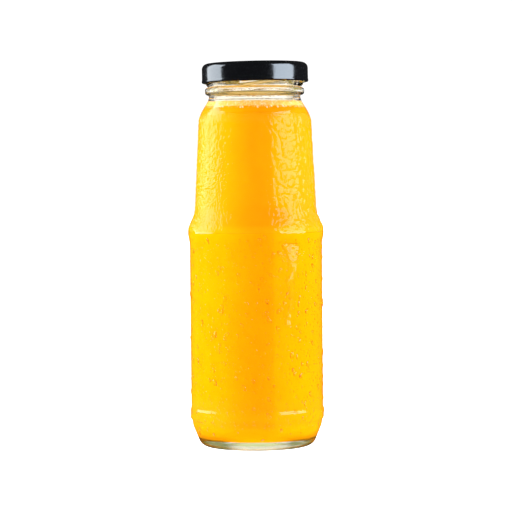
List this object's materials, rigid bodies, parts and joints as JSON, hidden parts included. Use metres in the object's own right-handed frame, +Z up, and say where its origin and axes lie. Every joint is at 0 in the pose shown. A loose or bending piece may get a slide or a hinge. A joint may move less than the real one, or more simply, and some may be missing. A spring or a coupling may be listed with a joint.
{
  "type": "glass bottle of orange juice",
  "caption": "Clear glass juice bottle with a tapered upper body, a stepped shoulder ridge and a wide mouth, full of orange juice with a thin froth layer, closed by a black twist-off cap.",
  "frame": {"origin": "centre of the ring that the bottle stands on, at the floor", "axes": "+Z up along the bottle's axis, -Y towards the side shown in the picture, +X to the right seen from there"},
  "size_m": [0.0586, 0.0586, 0.1654],
  "materials": {
    "clear_glass": "clear polished glass, wet with condensation outside",
    "orange_juice": null,
    "juice_froth": null,
    "black_lacquer": "glossy black lacquered tinplate"
  },
  "bodies": {
    "root": {"bottle": "clear_glass", "juice": "orange_juice", "froth": "juice_froth", "cap": "black_lacquer"}
  },
  "joints": []
}
